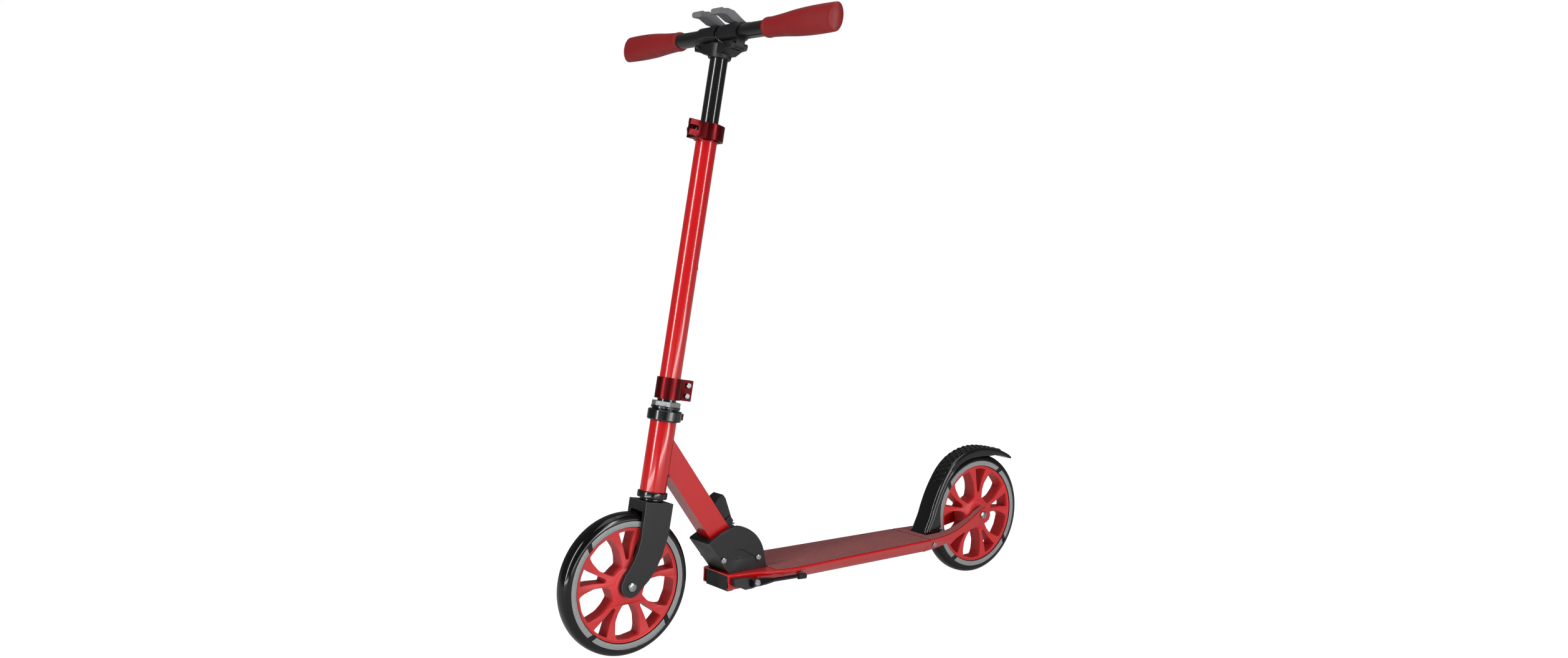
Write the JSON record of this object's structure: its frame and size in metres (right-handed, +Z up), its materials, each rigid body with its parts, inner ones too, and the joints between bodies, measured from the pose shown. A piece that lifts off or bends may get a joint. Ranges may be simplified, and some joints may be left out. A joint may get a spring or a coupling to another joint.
{
  "type": "kick scooter",
  "caption": "Folding kick scooter with large wheels, telescoping column, fold-down handlebars, foot-brake fender, side kickstand and a gritty deck.",
  "frame": {"origin": "on the ground midway between the wheel axles, on the scooter's middle plane", "axes": "+X the way the scooter rolls, +Y the rider's left, +Z up"},
  "size_m": [0.886, 0.495, 0.8901],
  "materials": {
    "red_paint_alloy": "gloss powder coat over aluminium",
    "red_paint_steel": "gloss powder coat over steel",
    "dark_red_anodised": "dark red anodised",
    "red_core": "moulded, semi-gloss",
    "red_grip": "soft matt moulding",
    "grip_sheet": "gritty sheet",
    "gloss_black_metal": "gloss black",
    "gloss_black_plastic": "gloss black moulding",
    "black_tube": "satin black anodised",
    "black_steel": "satin black",
    "black_casting": "fine matt black powder coat",
    "black_plastic": "matt moulding",
    "black_rubber": "matt",
    "black_tyre": "cast polyurethane, polished by its mould",
    "grey_ring": "retroreflective grey",
    "zinc_steel": "bright zinc"
  },
  "bodies": {
    "deck": {"deck_extrusion": "red_paint_alloy", "nose_cap": "black_plastic", "deck_sheet": "grip_sheet", "rear_fork": "red_paint_alloy", "rear_sheet": "grip_sheet", "fender_rod": "zinc_steel", "kick_bracket": "black_steel", "kick_bolt": "zinc_steel", "fold_housing": "black_casting", "housing_bolt_1": "zinc_steel", "housing_bolt_2": "zinc_steel", "fold_pin": "black_steel", "rear_axle": "zinc_steel"},
    "rear_wheel": {"rear_wheel_core": "red_core", "rear_wheel_tyre": "black_tyre", "rear_wheel_ring_left": "grey_ring", "rear_wheel_ring_right": "grey_ring", "rear_wheel_bearing_left": "zinc_steel", "rear_wheel_bearing_right": "zinc_steel"},
    "fender": {"brake_fender": "gloss_black_plastic"},
    "kickstand": {"kick_leg": "black_steel", "kick_foot": "black_rubber"},
    "stem": {"stem_foot": "black_casting", "down_tube": "red_paint_alloy", "head_tube": "red_paint_alloy", "lower_cup": "gloss_black_metal", "upper_cup": "gloss_black_metal", "lever_bracket": "black_steel"},
    "release_lever": {"release_lever": "black_plastic"},
    "steering": {"fork": "black_casting", "steerer": "black_steel", "crown_race": "gloss_black_metal", "lock_nut": "zinc_steel", "front_axle": "zinc_steel", "outer_tube": "red_paint_alloy", "lower_clamp": "dark_red_anodised", "clamp_screw_1": "zinc_steel", "clamp_screw_2": "zinc_steel", "upper_clamp": "dark_red_anodised", "upper_clamp_bolt": "zinc_steel"},
    "front_wheel": {"front_wheel_core": "red_core", "front_wheel_tyre": "black_tyre", "front_wheel_ring_left": "grey_ring", "front_wheel_ring_right": "grey_ring", "front_wheel_bearing_left": "zinc_steel", "front_wheel_bearing_right": "zinc_steel"},
    "height_button": {"height_button": "black_plastic"},
    "clamp_lever": {"clamp_lever": "dark_red_anodised"},
    "telescope": {"inner_tube": "black_tube", "t_head": "black_casting", "hinge_pin_left": "zinc_steel", "hinge_pin_right": "zinc_steel"},
    "left_bar": {"bar_sleeve_left": "black_casting", "handlebar_left": "black_tube", "grip_left": "red_grip"},
    "right_bar": {"bar_sleeve_right": "black_casting", "handlebar_right": "black_tube", "grip_right": "red_grip"},
    "left_latch": {"bar_latch_left": "black_casting"},
    "right_latch": {"bar_latch_right": "black_casting"}
  },
  "joints": [
    {"name": "rear_wheel_spin", "type": "hinge", "parent": "deck", "child": "rear_wheel", "pos_m": [-0.343, 0, 0.1], "axis": [0, 1, 0], "continuous": true},
    {"name": "fender_press", "type": "hinge", "parent": "deck", "child": "fender", "pos_m": [-0.2136, 0, 0.0735], "axis": [0, -1, 0], "range_deg": [0, 1.5], "stiffness_Nm_per_rad": 25, "springref_deg": -1.72},
    {"name": "kickstand_swing", "type": "hinge", "parent": "deck", "child": "kickstand", "pos_m": [0.1505, 0.0475, 0.0769], "axis": [0, -0.9659, -0.2588], "range_deg": [0, 125]},
    {"name": "stem_fold", "type": "hinge", "parent": "deck", "child": "stem", "pos_m": [0.164, 0, 0.1125], "axis": [0, -1, 0], "range_deg": [0, 82]},
    {"name": "release_press", "type": "hinge", "parent": "stem", "child": "release_lever", "pos_m": [0.17122, 0, 0.16568], "axis": [0, -1, 0], "range_deg": [0, 20], "stiffness_Nm_per_rad": 0.8, "springref_deg": -14.32},
    {"name": "steer", "type": "hinge", "parent": "stem", "child": "steering", "pos_m": [0.3173, 0, 0.1], "axis": [-0.1912, 0, 0.9815], "range_deg": [-60, 60]},
    {"name": "front_wheel_spin", "type": "hinge", "parent": "steering", "child": "front_wheel", "pos_m": [0.34297, 0, 0.10001], "axis": [0, 1, 0], "continuous": true},
    {"name": "height_button_press", "type": "slide", "parent": "steering", "child": "height_button", "axis": [0.9815, 0, 0.1912], "range_m": [0, 0.001], "stiffness_N_per_m": 600, "springref_m": -0.002},
    {"name": "clamp_lever_swing", "type": "hinge", "parent": "steering", "child": "clamp_lever", "pos_m": [0.22058, 0.013, 0.72453], "axis": [0.1912, 0, -0.9815], "range_deg": [0, 45]},
    {"name": "height_slide", "type": "slide", "parent": "steering", "child": "telescope", "axis": [-0.1912, 0, 0.9815], "range_m": [-0.085, 0.17]},
    {"name": "left_bar_fold", "type": "hinge", "parent": "telescope", "child": "left_bar", "pos_m": [0.17328, 0.04, 0.8392], "axis": [-0.9815, 0, -0.1912], "range_deg": [0, 90]},
    {"name": "right_bar_fold", "type": "hinge", "parent": "telescope", "child": "right_bar", "pos_m": [0.17328, -0.04, 0.8392], "axis": [0.9815, 0, 0.1912], "range_deg": [0, 90]},
    {"name": "left_latch_lift", "type": "hinge", "parent": "left_bar", "child": "left_latch", "pos_m": [0.14968, 0.023, 0.86619], "axis": [0, -1, 0], "range_deg": [0, 60]},
    {"name": "right_latch_lift", "type": "hinge", "parent": "right_bar", "child": "right_latch", "pos_m": [0.14968, -0.023, 0.86619], "axis": [0, -1, 0], "range_deg": [0, 60]}
  ]
}
